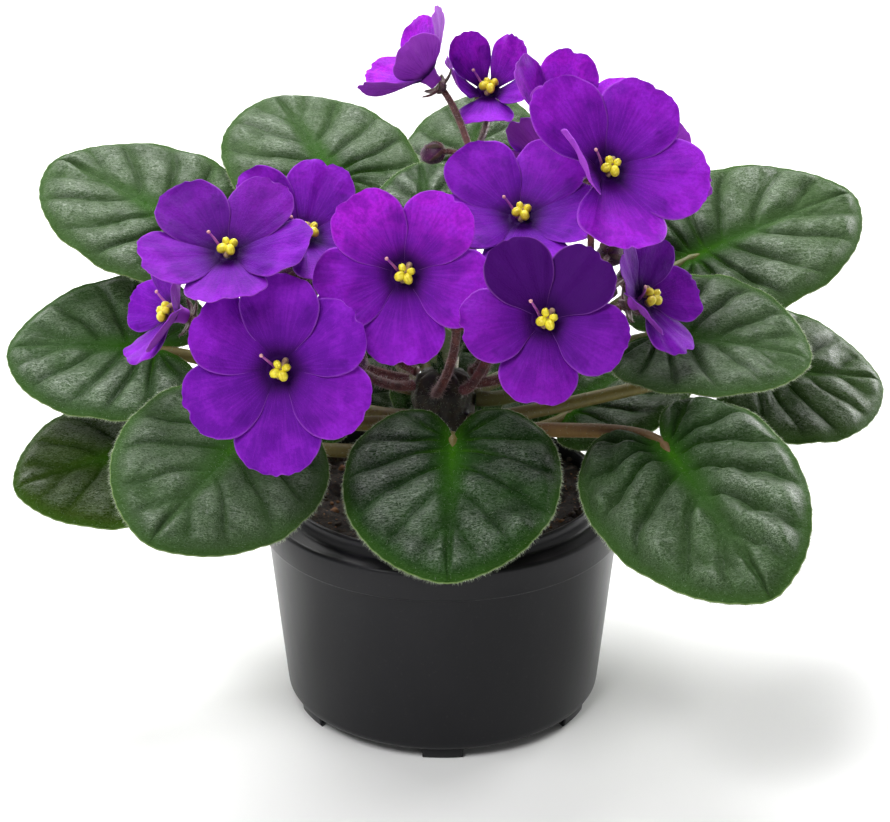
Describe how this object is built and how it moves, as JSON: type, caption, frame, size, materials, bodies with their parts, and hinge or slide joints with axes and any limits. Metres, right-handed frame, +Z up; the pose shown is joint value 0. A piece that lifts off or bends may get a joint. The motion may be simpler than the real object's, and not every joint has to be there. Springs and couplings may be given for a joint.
{
  "type": "potted african violet",
  "caption": "African violet in a black nursery pot: a rosette of round hairy leaves under violet flowers with yellow anthers.",
  "frame": {"origin": "centre of the pot's underside, on the surface that the pot stands on", "axes": "+Z up along the pot's axis, -Y towards the side of the plant that the picture shows, +X to that view's right"},
  "size_m": [0.281, 0.2309, 0.211],
  "materials": {
    "pot_plastic": "matte charcoal black",
    "peat": "dark brown moist peat",
    "crown": "hairy green",
    "leaf": "quilted, hairy dark green",
    "stalk": "hairy maroon brown",
    "petal": "satin violet with a finely sparkling surface",
    "anther": "bright yellow"
  },
  "bodies": {
    "root": {"pot": "pot_plastic", "soil": "peat", "crown": "crown", "leaf_front": "leaf", "leaf_front_left": "leaf", "leaf_front_right": "leaf", "leaf_left": "leaf", "leaf_low_left": "leaf", "leaf_right": "leaf", "leaf_low_right": "leaf", "leaf_back_right": "leaf", "leaf_back_left": "leaf", "leaf_back": "leaf", "leaf_rear": "leaf", "leaf_inner": "leaf", "leaf_low_rear_left": "leaf", "leaf_low_rear": "leaf", "leaf_low_rear_right": "leaf", "stalk_front_left": "stalk", "stalk_left": "stalk", "stalk_rear_left": "stalk", "stalk_front": "stalk", "stalk_upper": "stalk", "stalk_right": "stalk", "stalk_rear": "stalk", "stalk_top": "stalk", "corolla_front_left": "petal", "anthers_front_left": "anther", "corolla_upper_left": "petal", "anthers_upper_left": "anther", "corolla_behind_left": "petal", "anthers_behind_left": "anther", "corolla_far_left": "petal", "anthers_far_left": "anther", "corolla_centre": "petal", "anthers_centre": "anther", "corolla_upper": "petal", "anthers_upper": "anther", "corolla_front_right": "petal", "anthers_front_right": "anther", "corolla_high_right": "petal", "anthers_high_right": "anther", "corolla_far_right": "petal", "anthers_far_right": "anther", "corolla_top": "petal", "anthers_top": "anther", "corolla_top_left": "petal", "anthers_top_left": "anther", "corolla_top_right": "petal", "anthers_top_right": "anther", "corolla_rear_right": "petal", "anthers_rear_right": "anther", "corolla_rear": "petal", "anthers_rear": "anther"}
  },
  "joints": []
}
